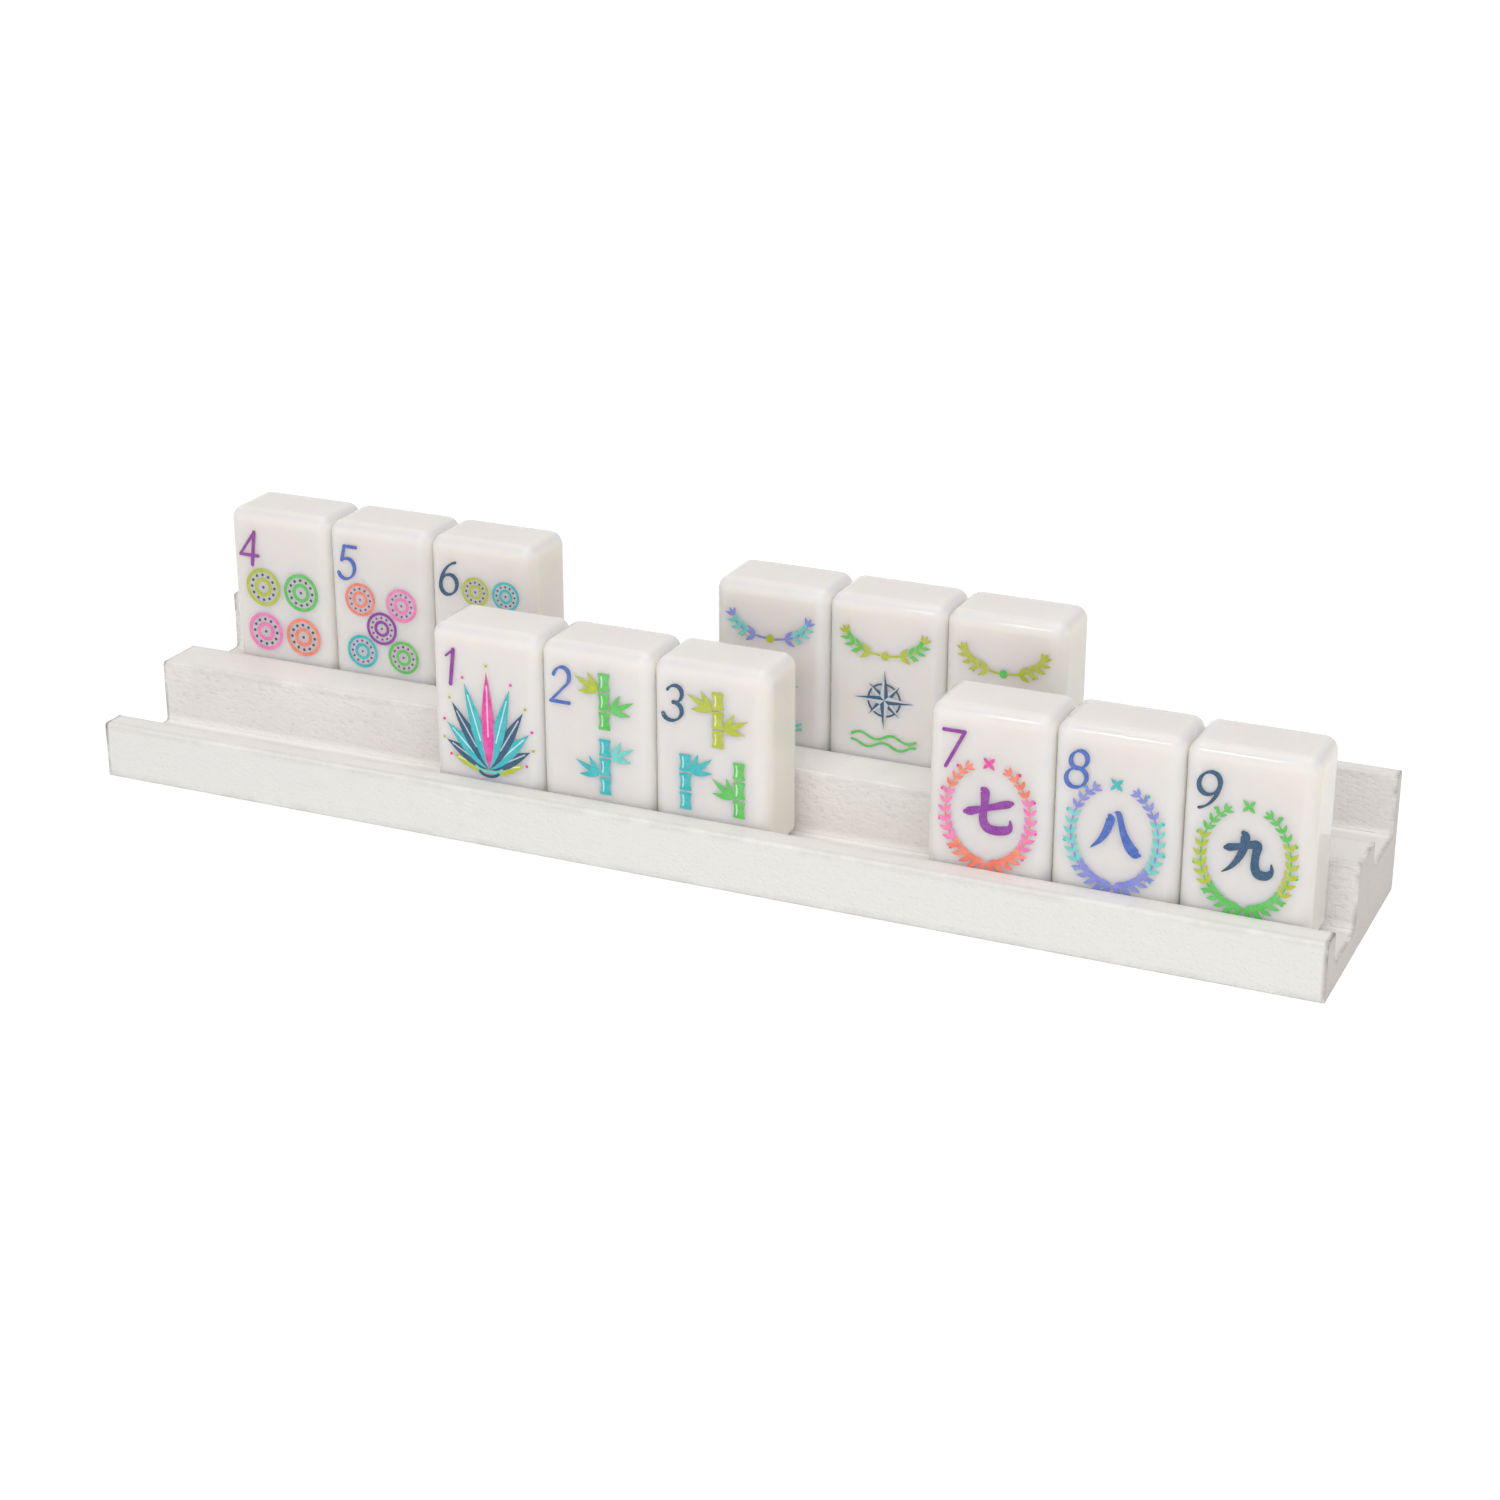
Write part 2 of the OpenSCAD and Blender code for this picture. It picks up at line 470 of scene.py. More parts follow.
def section_loop(node):
    """The (y, z) points round the left end of a straight extruded CAD node, in order."""
    low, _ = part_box(node)
    bm = bmesh.new()
    bm.from_mesh(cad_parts[node].data)
    bmesh.ops.remove_doubles(bm, verts=bm.verts, dist=1e-6)
    cap = {f for f in bm.faces if all(abs(v.co.x - low.x) < 1e-6 for v in f.verts)}
    rim = [e for e in bm.edges if sum(f in cap for f in e.link_faces) == 1]
    if not rim:
        bm.free()
        raise RuntimeError(f"{node} has no flat left end to take its section from")
    beside = {}
    for edge in rim:
        a, b = edge.verts
        beside.setdefault(a, []).append(b)
        beside.setdefault(b, []).append(a)
    start = min(beside, key=lambda v: (v.co.z, v.co.y))
    loop = []
    previous = None
    here = start
    while True:
        loop.append((here.co.y, here.co.z))
        following = next(v for v in beside[here] if v is not previous)
        previous, here = here, following
        if here is start:
            break
    bm.free()
    return loop if signed_area(loop) > 0 else loop[::-1]


def refined_loop(loop, spacing):
    """loop with its long straights cut up, each point with its bend: 1 on an arris, -1 in a cove, else 0."""
    corners = [Vector(p) for p in loop]
    count = len(corners)
    bends = []
    for i, here in enumerate(corners):
        before = here - corners[i - 1]
        after = corners[(i + 1) % count] - here
        turn = before.x * after.y - before.y * after.x
        rounded = abs(turn) > 1e-12 and min(before.length, after.length) < spacing
        bends.append(math.copysign(1.0, turn) if rounded else 0.0)
    refined = []
    for i, here in enumerate(corners):
        after = corners[(i + 1) % count]
        refined.append((here, bends[i]))
        pieces = math.ceil((after - here).length / spacing)
        for k in range(1, pieces):
            refined.append((here.lerp(after, k / pieces), 0.0))
    return refined


def outward(points):
    """The unit normal at each point of a closed anticlockwise loop."""
    normals = []
    for i, here in enumerate(points):
        along = (points[(i + 1) % len(points)] - points[i - 1]).normalized()
        normals.append(Vector((along.y, -along.x)))
    return normals


def ripple(x, y, z):
    """A slow wave between -1 and 1 for hand-sanded faces."""
    return (math.sin(61 * x + 190 * z) + math.sin(133 * x - 240 * y + 1.3) + math.sin(29 * x + 2.1)) / 3


# Operators that build the rack and the tiles


class TILERACK_OT_rack(bpy.types.Operator):
    """Builds the painted rack along the packed rack's own section"""

    bl_idname = "tilerack.rack"
    bl_label = "Build Rack"

    def execute(self, context):
        finish = settings("rack_finish")
        low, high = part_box("rack")
        profile = refined_loop(section_loop("rack"), finish.grid)
        points = [p for p, _ in profile]
        normals = outward(points)
        tops = [p for p, bend in profile if bend > 0 and p.y > low.z + END_WEAR_REACH]
        easing = finish.end_easing
        end_steps = [
            (easing * (1 - math.cos(a)), easing * (1 - math.sin(a))) for a in self.quarter(END_STEPS)
        ]
        stations = [(0.0, END_INSET * easing, 0.0)] + [(x, inset, 1.0) for x, inset in end_steps]
        stations += [(x * MM, 0.0, 0.0) for x in END_RINGS]
        left = [(low.x + x, inset, rub) for x, inset, rub in stations]
        right = [(high.x - x, inset, rub) for x, inset, rub in reversed(stations)]
        start = left[-1][0]
        stop = right[0][0]
        count = round((stop - start) / (RING_GRIDS * finish.grid))
        middle = [(start + (stop - start) * k / count, 0.0, 0.0) for k in range(1, count)]
        bm = bmesh.new()
        arris, cove, sawn_end, pitted, handled = (
            bm.verts.layers.float.new(name) for name in ("arris", "cove", "sawn_end", "pitted", "handled")
        )
        rings = []
        for x, inset, rub in left + middle + right:
            ring = []
            for (point, bend), normal in zip(profile, normals):
                lift = finish.unevenness * ripple(x, point.x, point.y) if point.y > low.z + MM else 0.0
                spot = point - normal * (inset + abs(lift))
                vert = bm.verts.new((x, spot.x, spot.y))
                vert[arris] = max(rub * self.wear_at(point, tops), bend * ARRIS_RUB)
                # The coves are marked for the painted highlight.
                vert[cove] = max(-bend, 0.0) if normal.x < 0 else 0.0
                vert[sawn_end] = 1.0 if x in (low.x, high.x) else 0.0
                vert[pitted] = self.pitting(point.x - low.y, normal)
                # The rail's front is marked for the painted shade.
                vert[handled] = 1.0 if point.x - low.y < MM else 0.0
                ring.append(vert)
            rings.append(ring)
        for first, second in zip(rings, rings[1:]):
            for i in range(len(first)):
                k = (i + 1) % len(first)
                bm.faces.new((first[i], first[k], second[k], second[i]))
        bm.faces.new(list(reversed(rings[0])))
        bm.faces.new(rings[-1])
        bmesh.ops.recalc_face_normals(bm, faces=bm.faces)
        mesh = finished_mesh("rack_painted", bm, paint_material(finish))
        mesh.set_sharp_from_angle(angle=math.radians(SHARP_ANGLE))
        rack = linked_object("rack_painted", mesh)
        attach(rack, "rack_body")
        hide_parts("rack")
        return {"FINISHED"}

    @staticmethod
    def wear_at(point, tops):
        """How worn a sawn end's edge is: most at the top corners of the rail, step and lip."""
        nearest = min((point - top).length for top in tops)
        return 0.5 + 0.5 * max(1 - nearest / END_WEAR_REACH, 0)

    @staticmethod
    def pitting(depth, normal):
        """How rough the coat is: most on the walls behind the front rail, which are hard to sand."""
        if normal.x > -0.8:
            return 0.15
        return 0.3 if depth < MM else 1.0

    @staticmethod
    def quarter(steps):
        return [math.pi / 2 * k / steps for k in range(steps + 1)]


class TILERACK_OT_tiles(bpy.types.Operator):
    """Builds the polished blocks of all the tiles"""

    bl_idname = "tilerack.tiles"
    bl_label = "Build Tiles"

    def execute(self, context):
        finish = settings("tile_finish")
        resin = resin_material(finish)
        for node in TILES:
            low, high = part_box(node)
            middle = (low + high) / 2
            size = high - low + Vector((2 * finish.snug, 0, 0))
            bm = bmesh.new()
            bmesh.ops.create_cube(bm, size=1.0)
            for vert in bm.verts:
                vert.co = Vector(v * s for v, s in zip(vert.co, size))
            bmesh.ops.bevel(
                bm, geom=list(bm.edges), offset=finish.edge_radius, offset_type="OFFSET",
                segments=finish.edge_steps, profile=0.5, affect="EDGES", clamp_overlap=True,
            )
            flats = sorted(bm.faces, key=lambda f: f.calc_area())[-6:]
            bmesh.ops.inset_individual(bm, faces=flats, thickness=FLAT_INSET * MM, depth=0.0)
            flank = bm.verts.layers.float.new("flank")
            crown = bm.verts.layers.float.new("crown")
            bm.normal_update()
            for vert in bm.verts:
                # How much of the painted light each point on the sides gets.
                vert[flank] = abs(vert.normal.x) ** FLANK_FADE
                # How much of the painted shade each point on the top edges gets.
                vert[crown] = self.top_edge_shading(vert.normal)
                vert.co += middle
            block = linked_object(node + "_block", finished_mesh(node + "_block", bm, resin))
            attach(block, node + "_body")
            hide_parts(node)
        return {"FINISHED"}

    @staticmethod
    def top_edge_shading(normal):
        """How much painted shade a point gets: 0 on the flats and the upright edges, and 1 halfway round a
        top edge.
        """
        half = math.sqrt(0.5)
        rounding = min((1 - max(abs(part) for part in normal)) / (1 - half), 1.0)
        return rounding * min(max(normal.z, 0.0) / half, 1.0)


# Printed faces


def smooth_line(points, closed=False):
    """A smooth curve through points, each (x, y) or (x, y, width)."""
    points = [Vector(p) for p in points]
    count = len(points)
    spans = count if closed else count - 1

    def at(i):
        return points[i % count] if closed else points[min(max(i, 0), count - 1)]

    curve = []
    for i in range(spans):
        a, b, c, d = at(i - 1), at(i), at(i + 1), at(i + 2)
        for k in range(CURVE_STEPS):
            t = k / CURVE_STEPS
            bend = 2 * a - 5 * b + 4 * c - d
            sway = 3 * b - a - 3 * c + d
            curve.append(0.5 * (2 * b + (c - a) * t + bend * t**2 + sway * t**3))
    if not closed:
        curve.append(points[-1])
    return curve


def arc(centre, wide, tall, start, stop, steps=16):
    """Points along an ellipse, from one angle to another in degrees."""
    turns = [math.radians(start + (stop - start) * k / steps) for k in range(steps + 1)]
    return [(centre[0] + wide * math.cos(a), centre[1] + tall * math.sin(a)) for a in turns]


def circle_points(centre, radius, count=28):
    return arc(centre, radius, radius, 0, 360, count)[:-1]


def ring_pieces(centre, outer, inner, count):
    """A flat ring as a row of four-sided pieces."""
    wide = circle_points(centre, outer, count)
    narrow = circle_points(centre, inner, count)
    return [[wide[i], wide[(i + 1) % count], narrow[(i + 1) % count], narrow[i]] for i in range(count)]


def leaf_points(base, angle, reach, width, steps=9):
    """A pointed leaf that grows from base at angle, widest a little before its middle."""
    along = Vector((math.cos(angle), math.sin(angle)))
    across = Vector((-along.y, along.x))
    halves = []
    for side in (1, -1):
        halves.append(
            [
                Vector(base) + along * reach * t + across * side * width / 2 * math.sin(math.pi * t**0.8)
                for t in (k / steps for k in range(steps + 1))
            ]
        )
    return halves[0] + halves[1][-2:0:-1]


def pale(ink):
    """The ink thinned halfway to white."""
    return tuple(0.5 + 0.5 * c for c in ink)


class TileFront:
    """The rounded front of a tile. Positions on it are millimetres from the middle of its foot."""

    def __init__(self, node):
        low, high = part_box(node)
        self.foot = Vector(((low.x + high.x) / 2, low.y, low.z))
        self.half_wide = in_mm(high.x - low.x) / 2
        self.half_tall = in_mm(high.z - low.z) / 2
        self.radius = in_mm(settings("tile_finish").edge_radius)

    def fall(self, u, v):
        """How far the rounded edges fall back from the flat face at (u, v)."""
        past_side = max(abs(u) - self.half_wide + self.radius, 0)
        past_end = max(abs(v - self.half_tall) - self.half_tall + self.radius, 0)
        return self.radius - math.sqrt(max(self.radius**2 - past_side**2 - past_end**2, 0))

    def spot(self, u, v, proud):
        """The place in the shared frame at (u, v), proud of the face by that many metres."""
        return self.foot + Vector((u * MM, self.fall(u, v) * MM - proud, v * MM))


class FacePrint:
    """Flat ink shapes on a tile's face. Positions are millimetres from the middle of the face's foot."""

    def __init__(self, node):
        self.node = node
        self.shapes = []

    def fill(self, points, ink, layer=0):
        outline = [tuple(p)[:2] for p in points]
        area = signed_area(outline)
        if abs(area) > 1e-6:
            self.shapes.append((outline if area > 0 else outline[::-1], ink, layer))

    def disc(self, centre, radius, ink, layer=0):
        self.fill(circle_points(centre, radius), ink, layer)

    def ring(self, centre, outer, inner, ink, layer=0, count=36):
        for piece in ring_pieces(centre, outer, inner, count):
            self.fill(piece, ink, layer)

    def leaf(self, base, angle, reach, width, ink, layer=0):
        self.fill(leaf_points(base, math.radians(angle), reach, width), ink, layer)

    def line(self, points, width, ink, layer=0, nib=None):
        """A ribbon along points with round ends. A point's third number scales the width there. A nib, held
        at an angle in degrees, thins the stretches that run its way."""
        spots = [Vector(tuple(p)[:2]) for p in points]
        halves = [width / 2 * (p[2] if len(p) > 2 else 1.0) for p in points]
        last = len(spots) - 1
        left = []
        right = []
        for i, here in enumerate(spots):
            along = (spots[min(i + 1, last)] - spots[max(i - 1, 0)]).normalized()
            if nib is not None:
                slope = math.radians(nib)
                crossing = abs(along.x * math.sin(slope) - along.y * math.cos(slope))
                halves[i] *= NIB_THIN + (1 - NIB_THIN) * crossing
            across = Vector((-along.y, along.x)) * halves[i]
            left.append(here + across)
            right.append(here - across)
        for i in range(last):
            self.fill((left[i], right[i], right[i + 1]), ink, layer)
            self.fill((left[i], right[i + 1], left[i + 1]), ink, layer)
        for i in (0, last):
            self.fill(circle_points(spots[i], halves[i], 14), ink, layer)

    def curve(self, points, width, ink, layer=0):
        self.line(smooth_line(points), width, ink, layer)

    def knocked_out(self):
        """The shapes cut into triangles that don't overlap, each with the ink of its topmost shape."""
        spots = []
        rings = []
        for points, _, _ in self.shapes:
            rings.append(list(range(len(spots), len(spots) + len(points))))
            spots.extend(Vector(p) for p in points)
        cut_spots, _, pieces, _, _, sources = delaunay_2d_cdt(spots, [], rings, 1, 1e-5)
        inked = []
        for piece, covers in zip(pieces, sources):
            if covers:
                top = max(covers, key=lambda i: (self.shapes[i][2], i))
                inked.append((piece, self.shapes[top][1]))
        return cut_spots, inked

    def build(self, material):
        """The print as one thin mesh on the tile's front, riding with the tile."""
        inks = settings("print_inks")
        tile = TileFront(self.node)
        spots, inked = self.knocked_out()
        bm = bmesh.new()
        tint = bm.loops.layers.float_color.new("ink")
        front = [bm.verts.new(tile.spot(u, v, inks.rise)) for u, v in spots]
        back = [bm.verts.new(tile.spot(u, v, -inks.rise)) for u, v in spots]
        runs = {(p[i - 1], p[i]): ink for p, ink in inked for i in range(len(p))}
        made = []
        for piece, ink in inked:
            made.append((bm.faces.new([front[i] for i in piece]), ink))
            made.append((bm.faces.new([back[i] for i in reversed(piece)]), ink))
        for (a, b), ink in runs.items():
            if (b, a) not in runs:
                made.append((bm.faces.new((front[b], front[a], back[a], back[b])), ink))
        for face, ink in made:
            for loop in face.loops:
                loop[tint] = (*ink, 1)
        bmesh.ops.delete(bm, geom=[v for v in bm.verts if not v.link_faces], context="VERTS")
        mesh = bpy.data.meshes.new(self.node + "_print")
        bm.to_mesh(mesh)
        bm.free()
        mesh.materials.append(material)
        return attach(linked_object(self.node + "_print", mesh), self.node + "_body")


# Strokes of the corner numerals, in units of which DIGIT_TALL make their height
DIGITS = {
    1: [[(0.16, 1.28), (0.5, 1.6)], [(0.5, 1.6), (0.5, 0.0)]],
    2: [arc((0.45, 1.14), 0.38, 0.46, 170, -38) + [(0.05, 0.0)], [(0.05, 0.0), (0.94, 0.0)]],
    3: [arc((0.42, 1.2), 0.36, 0.39, 155, -90), arc((0.42, 0.42), 0.44, 0.42, 90, -155)],
    4: [[(0.7, 0.0), (0.7, 1.6)], [(0.7, 1.6), (0.02, 0.46)], [(0.02, 0.46), (0.98, 0.46)]],
    5: [[(0.86, 1.58), (0.24, 1.58)], [(0.24, 1.58), (0.155, 0.9)], arc((0.42, 0.5), 0.44, 0.5, 127, -150)],
    6: [arc((0.86, 0.48), 0.8, 1.1, 100, 180), arc((0.48, 0.48), 0.42, 0.48, 180, 540, 28)],
    7: [[(0.04, 1.58), (0.94, 1.58)], [(0.94, 1.58), (0.34, 0.0)]],
    8: [arc((0.46, 1.2), 0.34, 0.38, -90, 270, 26), arc((0.46, 0.42), 0.42, 0.42, 90, 450, 28)],
    9: [arc((0.06, 1.1), 0.8, 1.1, -80, 0), arc((0.44, 1.1), 0.42, 0.48, 0, 360, 28)],
}


def print_index(face, digit, ink):
    """The small slanted numeral at the top left of a tile's face."""
    inks = settings("print_inks")
    scale = in_mm(inks.index_height) / DIGIT_TALL
    left, foot = INDEX_PLACE
    for stroke in DIGITS[digit]:
        points = [(left + (x + INDEX_SLANT * y) * scale, foot + y * scale) for x, y in stroke]
        face.line(points, in_mm(inks.index_line), ink, layer=1, nib=INDEX_NIB)


class TILERACK_OT_print_bamboo(bpy.types.Operator):
    """Prints the bamboo tiles: a leafy shoot, then jointed canes"""

    bl_idname = "tilerack.print_bamboo"
    bl_label = "Print Bamboo"

    CANE = {"lengths": 3, "gap": 0.4, "waist": 1.05, "flare": 0.4}

    def execute(self, context):
        inks = settings("print_inks")
        material = ink_material()
        for face in (self.shoot(inks), self.pair(inks), self.three(inks)):
            face.build(material)
        return {"FINISHED"}

    @staticmethod
    def shoot(inks):
        """One shoot: slender leaves fan out of a collar on both sides of a bright bud."""
        face = FacePrint("bamboo_1")
        print_index(face, 1, inks.purple)
        foot = Vector((0.4, 9.4))
        leaves = (
            (76, 8.6, inks.lime), (61, 11.2, inks.slate), (46, 13.4, inks.teal),
            (31, 16.2, inks.slate), (16, 19.2, inks.teal), (0, 21.6, inks.magenta),
        )
        for layer, (spread, reach, ink) in enumerate(leaves):
            tip_ink = inks.lime if layer % 2 else inks.magenta
            for side in (1, -1) if spread else (1,):
                angle = 90 - side * spread
                rib = Vector((math.cos(math.radians(angle)), math.sin(math.radians(angle)))) * reach
                face.leaf(foot, angle, reach, 2.9, ink, layer)
                face.line([foot + 0.34 * rib, foot + 0.86 * rib], 0.3, pale(ink), layer)
                face.disc(foot + 1.06 * rib, 0.34, tip_ink, layer)
        for width, v, ink in ((3.2, 10.2, inks.aqua), (2.3, 9.2, inks.slate)):
            face.line(arc((foot.x, v), width, 1.3, 200, 340), 0.6, ink, len(leaves))
        return face

    def pair(self, inks):
        """Two canes, one above the other."""
        face = FacePrint("bamboo_2")
        print_index(face, 2, inks.blue)
        self.cane(face, (2.0, 22.4), 12.6, inks.green)
        self.cane(face, (2.0, 8.2), 12.6, inks.teal)
        for base, angle, ink in (
            ((3.4, 26.7), 28, inks.green), ((0.6, 30.7), 152, inks.lime),
            ((3.4, 16.6), 28, inks.aqua), ((0.6, 12.5), 152, inks.teal),
        ):
            self.spray(face, base, angle, ink)
        return face

    def three(self, inks):
        """One cane above two."""
        face = FacePrint("bamboo_3")
        print_index(face, 3, inks.slate)
        self.cane(face, (1.8, 22.6), 12.2, inks.lime)
        self.cane(face, (-5.4, 8.2), 12.4, inks.teal)
        self.cane(face, (6.4, 8.2), 12.4, inks.green)
        for base, angle, ink in (
            ((3.2, 26.7), 28, inks.lime), ((0.4, 30.6), 152, inks.lime),
            ((-4.0, 16.4), 40, inks.teal), ((5.0, 12.3), 140, inks.green),
        ):
            self.spray(face, base, angle, ink)
        return face

    def cane(self, face, foot, height, ink):
        """A cane of three waisted lengths with a bare gap at each joint and a pale streak."""
        u, v = foot
        span = height / self.CANE["lengths"]
        tall = span - self.CANE["gap"]
        rounding = [(0.0, -0.3)] + [(t, 0.0) for t in (0.06, 0.25, 0.5, 0.75, 0.94)] + [(1.0, -0.3)]
        for k in range(self.CANE["lengths"]):
            low = v + k * span + self.CANE["gap"] / 2
            side = [
                (self.CANE["waist"] + self.CANE["flare"] * (2 * t - 1) ** 2 + trim, low + t * tall)
                for t, trim in rounding
            ]
            face.fill([(u + w, z) for w, z in side] + [(u - w, z) for w, z in reversed(side)], ink)
            streak = [(u - inward, low + t * tall) for inward, t in ((0.55, 0.2), (0.42, 0.5), (0.55, 0.8))]
            face.curve(streak, 0.3, pale(ink), 1)

    @staticmethod
    def spray(face, base, angle, ink):
        """Three slender leaves that spread from one joint."""
        for turn, reach in ((-32, 4.6), (0, 6.0), (32, 4.6)):
            face.leaf(base, angle + turn, reach, 1.2, ink)


def stamp_tree():
    """Geometry Nodes: a stamp on every point, sized, turned and inked by the point's own attributes."""
    found = bpy.data.node_groups.get("Stamp On Points")
    if found:
        return found
    tree = bpy.data.node_groups.new("Stamp On Points", "GeometryNodeTree")
    tree.is_modifier = True
    for name, kind in (
        ("Geometry", "NodeSocketGeometry"), ("Stamp", "NodeSocketObject"), ("Ink", "NodeSocketMaterial"),
        ("Size", "NodeSocketFloat"),
    ):
        tree.interface.new_socket(name, in_out="INPUT", socket_type=kind)
    tree.interface.new_socket("Geometry", in_out="OUTPUT", socket_type="NodeSocketGeometry")
    given = tree.nodes.new("NodeGroupInput").outputs
    result = tree.nodes.new("NodeGroupOutput").inputs
    points = add_node(tree, "GeometryNodeMeshToPoints", values={"Mesh": given["Geometry"]})
    stamp = add_node(tree, "GeometryNodeObjectInfo", values={"Object": given["Stamp"], "As Instance": True})
    turn = add_node(tree, "GeometryNodeInputNamedAttribute", data_type="FLOAT", values={"Name": "turn"})
    about_y = add_node(tree, "ShaderNodeCombineXYZ", values={"Y": turn.outputs["Attribute"]})
    turned = add_node(tree, "FunctionNodeEulerToRotation", values={"Euler": about_y.outputs[0]})
    own_size = add_node(tree, "GeometryNodeInputNamedAttribute", data_type="FLOAT", values={"Name": "size"})
    size = add_node(
        tree, "ShaderNodeMath", operation="MULTIPLY",
        values={0: own_size.outputs["Attribute"], 1: given["Size"]},
    )
    stamped = add_node(
        tree, "GeometryNodeInstanceOnPoints",
        values={
            "Points": points.outputs[0], "Instance": stamp.outputs["Geometry"],
            "Rotation": turned.outputs[0], "Scale": size.outputs[0],
        },
    )
    real = add_node(tree, "GeometryNodeRealizeInstances", values={"Geometry": stamped.outputs[0]})
    inked = add_node(
        tree, "GeometryNodeSetMaterial", values={"Geometry": real.outputs[0], "Material": given["Ink"]}
    )
    tree.links.new(inked.outputs[0], result["Geometry"])
    return tree


def stamp_object(name, shapes):
    """A stamp one unit across in the XZ plane, facing -Y. Each shape is a list of (x, z) points."""
    bm = bmesh.new()
    for points in shapes:
        flat = [tuple(p) for p in points]
        flat = flat if signed_area(flat) > 0 else flat[::-1]
        face = [bm.verts.new((x, -STAMP_DEPTH, z)) for x, z in flat]
        back = [bm.verts.new((x, STAMP_DEPTH, z)) for x, z in flat]
        bm.faces.new(face)
        bm.faces.new(back[::-1])
        for i in range(len(face)):
            k = (i + 1) % len(face)
            bm.faces.new((face[k], face[i], back[i], back[k]))
    mesh = bpy.data.meshes.new(name)
    bm.to_mesh(mesh)
    bm.free()
    return linked_object(name, mesh)


def stamped_piece(name, node, stamp, marks, material):
    """Stamps on a tile's face. Each mark is (u, v, turn in degrees, size, ink)."""
    inks = settings("print_inks")
    tile = TileFront(node)
    mesh = bpy.data.meshes.new(name + "_points")
    heights = [inks.rise + inks.layer_rise * (1 + order % STAMP_HEIGHTS) for order in range(len(marks))]
    mesh.from_pydata([tile.spot(mark[0], mark[1], proud) for mark, proud in zip(marks, heights)], [], [])
    for label, kind, column in (("turn", "FLOAT", 2), ("size", "FLOAT", 3), ("ink", "FLOAT_COLOR", 4)):
        layer = mesh.attributes.new(label, kind, "POINT")
        for item, mark in zip(layer.data, marks):
            if label == "ink":
                item.color = (*mark[column], 1)
            else:
                item.value = -math.radians(mark[column]) if label == "turn" else mark[column]
    holder = linked_object(name + "_points", mesh)
    modifier = holder.modifiers.new("stamps", "NODES")
    modifier.node_group = stamp_tree()
    sockets = {s.name: s.identifier for s in modifier.node_group.interface.items_tree if s.in_out == "INPUT"}
    modifier[sockets["Stamp"]] = stamp
    modifier[sockets["Ink"]] = material
    modifier[sockets["Size"]] = MM
    seen = holder.evaluated_get(bpy.context.evaluated_depsgraph_get())
    plain = bpy.data.meshes.new_from_object(seen)
    plain.name = name
    if not plain.vertices:
        raise RuntimeError(f"{name} came out empty")
    bpy.data.objects.remove(holder)
    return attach(linked_object(name, plain), node + "_body")


class TILERACK_OT_print_dots(bpy.types.Operator):
    """Prints the dots tiles: ringed coins in rows"""

    bl_idname = "tilerack.print_dots"
    bl_label = "Print Dots"

    def execute(self, context):
        inks = settings("print_inks")
        material = ink_material()
        coin = ring_pieces((0, 0), 0.5, 0.41, 32) + ring_pieces((0, 0), 0.25, 0.155, 32)
        rings = stamp_object("coin_stamp", coin)
        spots = circle_points((0, 0), 0.33, 12)
        beads = stamp_object("bead_stamp", [circle_points(spot, 0.04, 10) for spot in [(0, 0)] + spots])
        layouts = {
            "dots_4": (8.8, inks.purple, inks.slate, [
                (-4.6, 22.2, inks.lime), (5.2, 22.2, inks.green),
                (-4.6, 11.8, inks.pink), (5.2, 11.8, inks.coral)]),
            "dots_5": (7.6, inks.blue, inks.purple, [
                (-5.0, 22.8, inks.coral), (5.4, 22.8, inks.pink), (0.2, 16.8, inks.purple),
                (-5.0, 10.8, inks.teal), (5.4, 10.8, inks.green)]),
            "dots_6": (6.6, inks.slate, inks.slate, [
                (-1.4, 28.6, inks.lime), (6.0, 28.6, inks.teal), (-1.4, 20.0, inks.pink),
                (6.0, 20.0, inks.coral), (-1.4, 11.4, inks.green), (6.0, 11.4, inks.purple)]),
        }
        for node, (size, index_ink, bead_ink, coins) in layouts.items():
            ringed = [(u, v, 0.0, size, ink) for u, v, ink in coins]
            beaded = [(u, v, 0.0, size, bead_ink) for u, v, _ in coins]
            stamped_piece(node + "_coins", node, rings, ringed, material)
            stamped_piece(node + "_beads", node, beads, beaded, material)
            face = FacePrint(node)
            print_index(face, int(node[-1]), index_ink)
            face.build(material)
        bpy.data.objects.remove(rings)
        bpy.data.objects.remove(beads)
        return {"FINISHED"}


def leafy_branch(face, path, size, first, second, berry):
    """Draws a stem with berries along path and gives the marks of its leaves, which shrink to the tip."""
    steps = len(path) - 1
    side = math.copysign(1, path[-1].x)
    face.curve([(*p, 1.2 - 0.5 * k / steps) for k, p in enumerate(path)], STEM_WIDTH, first)
    marks = []
    for k, here in enumerate(path[1:], 1):
        along = here - path[k - 1]
        heading = math.degrees(math.atan2(along.y, along.x)) - 90
        ink = second if steps // 3 < k <= 2 * steps // 3 + 1 else first
        reach = size * (1 - k / (3 * steps))
        leans = (-LEAF_LEAN, 0, LEAF_LEAN) if k == steps else (-LEAF_LEAN, LEAF_LEAN)
        marks += [(here.x, here.y, heading + lean, reach, ink) for lean in leans]
        if k < steps and k % 3 == 2:
            out = Vector((along.y, -along.x)).normalized() * side * BERRY_STANDOFF
            face.disc(here + out + 0.45 * along, BERRY_RADIUS, berry)
    return marks


